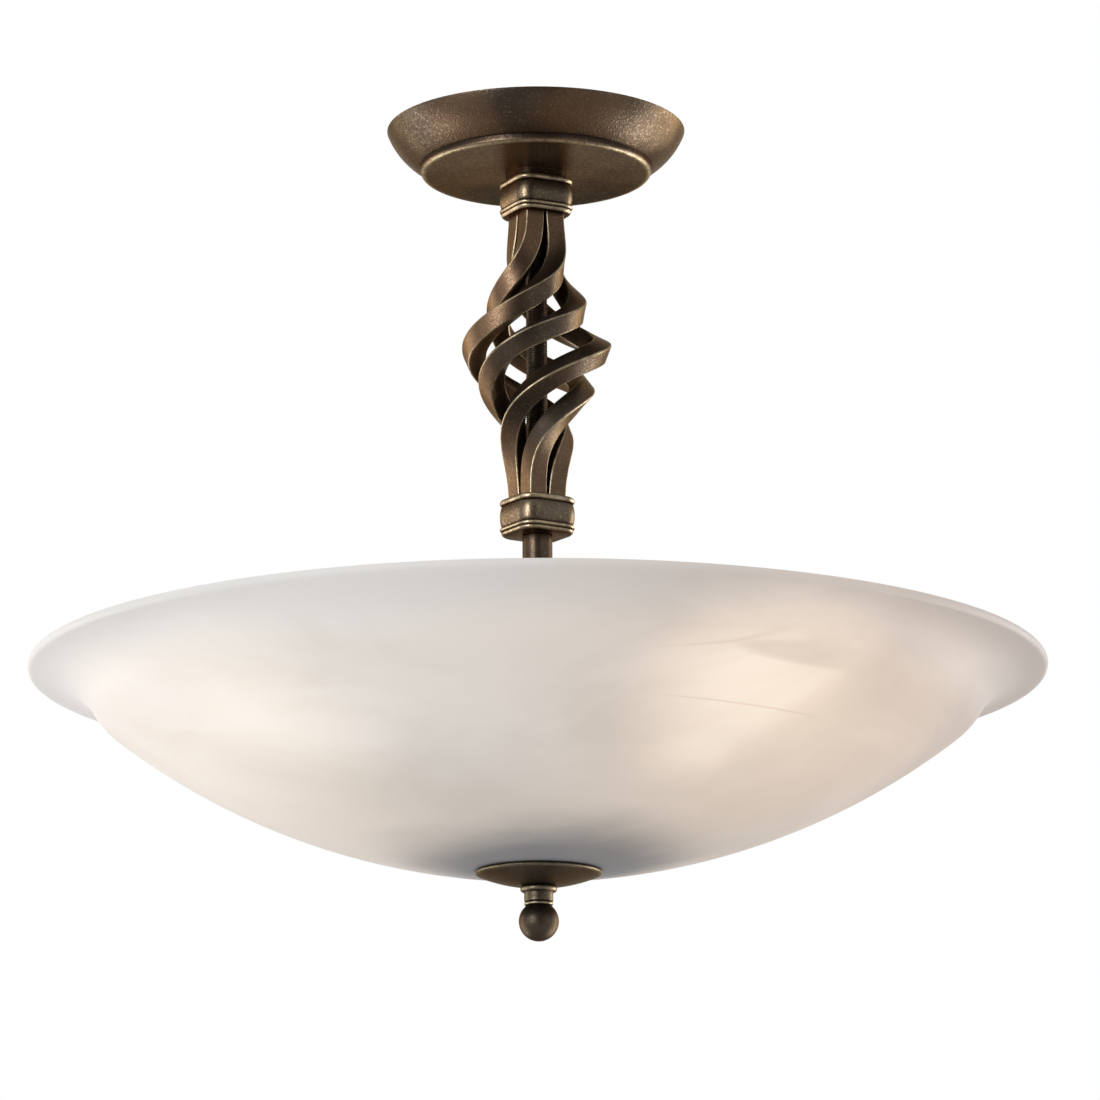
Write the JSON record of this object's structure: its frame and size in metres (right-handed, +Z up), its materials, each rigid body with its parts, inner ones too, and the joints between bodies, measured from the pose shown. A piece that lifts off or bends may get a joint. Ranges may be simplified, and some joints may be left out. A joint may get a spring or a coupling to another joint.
{
  "type": "pendant light",
  "caption": "Semi-flush pendant light: round canopy, stem of square bars twisted into an open basket, shallow marbled glass bowl that hides sideways lamps, domed plate and ball finial",
  "frame": {"origin": "on the ceiling, at the middle of the crossbar and of the canopy's rim", "axes": "+Z up into the ceiling along the stem, +X along the crossbar towards the terminal block, -Y towards the viewer of the picture"},
  "size_m": [0.45, 0.45, 0.3702],
  "materials": {
    "zinc_steel": "zinc plated",
    "brass": "plain brass",
    "white_plastic": "matt white",
    "rod": "dark bronze paint over thread",
    "canopy": "antique bronze over a sand-cast texture",
    "collars": "antique bronze rubbed bright on the beads",
    "bars": "brushed antique bronze with worn bright edges",
    "sleeves": "antique bronze",
    "hub": "antique bronze",
    "bronze_fittings": "antique bronze on steel",
    "black_plastic": "matt black",
    "flex": "clear gold sheath over two cores",
    "rubber": "soft dark grey rubber",
    "alabaster_glass": "satin glass with marbled swirls",
    "plate": "smooth dark bronze",
    "finial": "antique bronze rubbed bright on the bead",
    "bulb_caps": "plain aluminium with a rolled thread",
    "opal_glass": "opal glass"
  },
  "bodies": {
    "fixture": {"ceiling_bracket": "zinc_steel", "bracket_washer": "zinc_steel", "bracket_nut": "zinc_steel", "earth_screw": "brass", "terminal_block": "white_plastic", "terminal_screws": "brass", "block_screw": "zinc_steel", "centre_rod": "rod", "canopy": "canopy", "upper_collar": "collars", "basket_bar_1": "bars", "basket_bar_2": "bars", "basket_bar_3": "bars", "basket_bar_4": "bars", "lower_collar": "collars", "stem_sleeve": "sleeves", "hub_body": "hub", "hub_cover": "hub", "hub_nut": "bronze_fittings", "holder_nipples": "brass", "nipple_nuts": "brass", "holder_cap_1": "black_plastic", "holder_cap_2": "black_plastic", "holder_cap_3": "black_plastic", "lamp_holder_1": "black_plastic", "lamp_holder_2": "black_plastic", "lamp_holder_3": "black_plastic", "screw_shell_1": "brass", "screw_shell_2": "brass", "screw_shell_3": "brass", "centre_contact_1": "brass", "centre_contact_2": "brass", "centre_contact_3": "brass", "flex_1": "flex", "flex_2": "flex", "flex_3": "flex", "spacer_sleeve": "sleeves", "seat_washer": "bronze_fittings", "upper_rubber": "rubber"},
    "bowl_and_plate": {"bowl": "alabaster_glass", "lower_rubber": "rubber", "bottom_plate": "plate"},
    "finial": {"finial": "finial"},
    "bulb_1_foot": {"bulb_foot_1": "brass"},
    "bulb_1": {"bulb_cap_1": "bulb_caps", "bulb_globe_1": "opal_glass"},
    "bulb_2_foot": {"bulb_foot_2": "brass"},
    "bulb_2": {"bulb_cap_2": "bulb_caps", "bulb_globe_2": "opal_glass"},
    "bulb_3_foot": {"bulb_foot_3": "brass"},
    "bulb_3": {"bulb_cap_3": "bulb_caps", "bulb_globe_3": "opal_glass"}
  },
  "joints": [
    {"name": "bowl_drop", "type": "slide", "parent": "fixture", "child": "bowl_and_plate", "axis": [0, 0, -1], "range_m": [0, 0.009]},
    {"name": "finial_turn", "type": "hinge", "parent": "bowl_and_plate", "child": "finial", "pos_m": [0, 0, -0.34], "axis": [0, 0, -1], "range_deg": [0, 3245]},
    {"name": "bulb_1_out", "type": "slide", "parent": "fixture", "child": "bulb_1_foot", "axis": [-0.9532, -0.3024, 0], "range_m": [0, 0.01089]},
    {"name": "bulb_1_turn", "type": "hinge", "parent": "bulb_1_foot", "child": "bulb_1", "pos_m": [0, 0, -0.263], "axis": [-0.9532, -0.3024, 0], "range_deg": [-1, 1082]},
    {"name": "bulb_2_out", "type": "slide", "parent": "fixture", "child": "bulb_2_foot", "axis": [0.7385, -0.6743, 0], "range_m": [0, 0.01089]},
    {"name": "bulb_2_turn", "type": "hinge", "parent": "bulb_2_foot", "child": "bulb_2", "pos_m": [0, 0, -0.263], "axis": [0.7385, -0.6743, 0], "range_deg": [-1, 1082]},
    {"name": "bulb_3_out", "type": "slide", "parent": "fixture", "child": "bulb_3_foot", "axis": [0.2147, 0.9767, 0], "range_m": [0, 0.01089]},
    {"name": "bulb_3_turn", "type": "hinge", "parent": "bulb_3_foot", "child": "bulb_3", "pos_m": [0, 0, -0.263], "axis": [0.2147, 0.9767, 0], "range_deg": [-1, 1082]}
  ],
  "couplings": [
    {"joint": "finial_turn", "follows": "bowl_drop", "rad_per_m": 6283.2},
    {"joint": "bulb_1_turn", "follows": "bulb_1_out", "rad_per_m": 1731.4},
    {"joint": "bulb_2_turn", "follows": "bulb_2_out", "rad_per_m": 1731.4},
    {"joint": "bulb_3_turn", "follows": "bulb_3_out", "rad_per_m": 1731.4}
  ]
}
